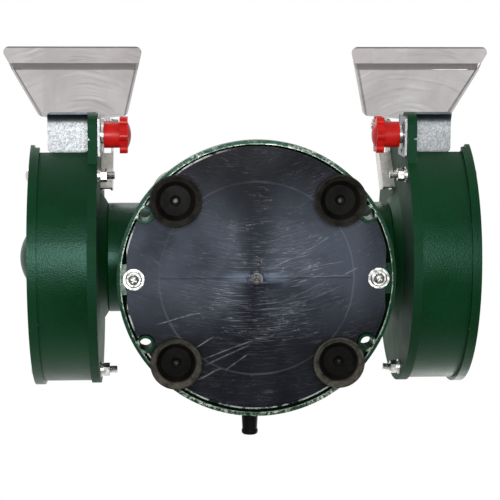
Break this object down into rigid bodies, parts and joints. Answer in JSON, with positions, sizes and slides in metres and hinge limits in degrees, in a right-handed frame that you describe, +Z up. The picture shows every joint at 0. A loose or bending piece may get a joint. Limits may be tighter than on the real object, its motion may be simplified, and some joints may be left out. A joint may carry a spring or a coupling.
{
  "type": "bench grinder",
  "caption": "Twin-wheel bench grinder with a round base on suction feet, wheel guards, clear eye shields, sliding tool rests and lobed knobs.",
  "frame": {"origin": "middle of the four bench-bolt holes, in the plane of their lugs' undersides", "axes": "+X along the spindle to the user's right, -Y towards the user, +Z up"},
  "size_m": [0.3402, 0.249, 0.1986],
  "materials": {
    "base_paint": "satin green paint on a casting, bare at the rim",
    "guard_paint": "satin green textured paint on pressed steel",
    "motor_paint": "satin green textured paint on rolled steel",
    "bell_paint": "satin green textured paint on a casting",
    "plate_plastic": "moulded black, finely scratched",
    "foot_rubber": "matt black",
    "sleeve_rubber": "matt black",
    "switch_plastic": "satin black",
    "rocker_plastic": "gloss black",
    "capacitor_shell": "white",
    "fan_plastic": "black",
    "lamination_steel": "bare laminations",
    "winding_copper": "enamelled copper wire",
    "bearing_steel": "polished",
    "spindle_steel": "turned",
    "zinc_fasteners": "bright zinc plate",
    "galvanised_steel": "spangled zinc coat",
    "bracket_steel": "dull zinc plate",
    "wheel_grit": "coarse grey aluminium oxide",
    "knob_plastic": "moulded red",
    "shield_clear": "clear moulded sheet, smudged"
  },
  "bodies": {
    "frame": {"base_shell": "base_paint", "bottom_plate": "plate_plastic", "plate_screws": "zinc_fasteners", "plate_washers": "zinc_fasteners", "front_left_foot": "foot_rubber", "front_right_foot": "foot_rubber", "rear_left_foot": "foot_rubber", "rear_right_foot": "foot_rubber", "foot_screws": "zinc_fasteners", "strain_relief": "sleeve_rubber", "switch_body": "switch_plastic", "capacitor": "capacitor_shell", "capacitor_clamp": "bracket_steel", "motor_bolts": "zinc_fasteners", "motor_housing": "motor_paint", "left_end_bell": "bell_paint", "right_end_bell": "bell_paint", "end_bell_screws": "zinc_fasteners", "stator_core": "lamination_steel", "stator_windings": "winding_copper", "left_bearing": "bearing_steel", "right_bearing": "bearing_steel", "guard_bolts": "zinc_fasteners", "guard_nuts": "zinc_fasteners", "guard_mount_screws": "zinc_fasteners", "deflector_screws": "zinc_fasteners", "rest_bolts": "zinc_fasteners", "knob_washers": "zinc_fasteners", "bracket_screws": "zinc_fasteners", "shield_clamp_screws": "zinc_fasteners", "left_inner_guard": "guard_paint", "right_inner_guard": "guard_paint", "left_guard_band": "guard_paint", "right_guard_band": "guard_paint", "left_outer_cover": "guard_paint", "right_outer_cover": "guard_paint", "left_shield_bracket": "bracket_steel", "right_shield_bracket": "bracket_steel"},
    "rotor": {"shaft": "spindle_steel", "rotor_core": "lamination_steel", "fan": "fan_plastic", "left_inner_flange": "spindle_steel", "right_inner_flange": "spindle_steel", "left_wheel": "wheel_grit", "right_wheel": "wheel_grit", "left_outer_flange": "spindle_steel", "right_outer_flange": "spindle_steel", "left_spindle_nut": "spindle_steel", "right_spindle_nut": "spindle_steel"},
    "switch_rocker": {"switch_rocker": "rocker_plastic"},
    "left_tool_rest": {"left_tool_rest": "galvanised_steel"},
    "left_rest_knob": {"left_rest_knob": "knob_plastic"},
    "left_eye_shield": {"left_shield_hinge": "bracket_steel", "left_eye_shield": "shield_clear"},
    "left_spark_deflector": {"left_spark_deflector": "galvanised_steel"},
    "right_tool_rest": {"right_tool_rest": "galvanised_steel"},
    "right_rest_knob": {"right_rest_knob": "knob_plastic"},
    "right_eye_shield": {"right_shield_hinge": "bracket_steel", "right_eye_shield": "shield_clear"},
    "right_spark_deflector": {"right_spark_deflector": "galvanised_steel"}
  },
  "joints": [
    {"name": "rotor_spin", "type": "hinge", "parent": "frame", "child": "rotor", "pos_m": [0, 0, 0.0964], "axis": [1, 0, 0], "continuous": true},
    {"name": "switch_rocker_tilt", "type": "hinge", "parent": "frame", "child": "switch_rocker", "pos_m": [0, -0.07667, 0.02024], "axis": [1, 0, 0], "range_deg": [0, 20]},
    {"name": "left_rest_slide", "type": "slide", "parent": "frame", "child": "left_tool_rest", "axis": [0, -1, 0], "range_m": [-0.0008, 0.0085]},
    {"name": "left_knob_turn", "type": "hinge", "parent": "frame", "child": "left_rest_knob", "pos_m": [-0.1, -0.088, 0.0604], "axis": [1, 0, 0], "range_deg": [-180, 180]},
    {"name": "left_shield_tilt", "type": "hinge", "parent": "frame", "child": "left_eye_shield", "pos_m": [-0.1, -0.0886, 0.1344], "axis": [-1, 0, 0], "range_deg": [-30, 75]},
    {"name": "left_deflector_slide", "type": "slide", "parent": "frame", "child": "left_spark_deflector", "axis": [0, -0.4462, 0.8949], "range_m": [-0.001, 0.005]},
    {"name": "right_rest_slide", "type": "slide", "parent": "frame", "child": "right_tool_rest", "axis": [0, -1, 0], "range_m": [-0.0008, 0.0085]},
    {"name": "right_knob_turn", "type": "hinge", "parent": "frame", "child": "right_rest_knob", "pos_m": [0.1, -0.088, 0.0604], "axis": [1, 0, 0], "range_deg": [-180, 180]},
    {"name": "right_shield_tilt", "type": "hinge", "parent": "frame", "child": "right_eye_shield", "pos_m": [0.1, -0.0886, 0.1344], "axis": [-1, 0, 0], "range_deg": [-30, 75]},
    {"name": "right_deflector_slide", "type": "slide", "parent": "frame", "child": "right_spark_deflector", "axis": [0, -0.4462, 0.8949], "range_m": [-0.001, 0.005]}
  ]
}
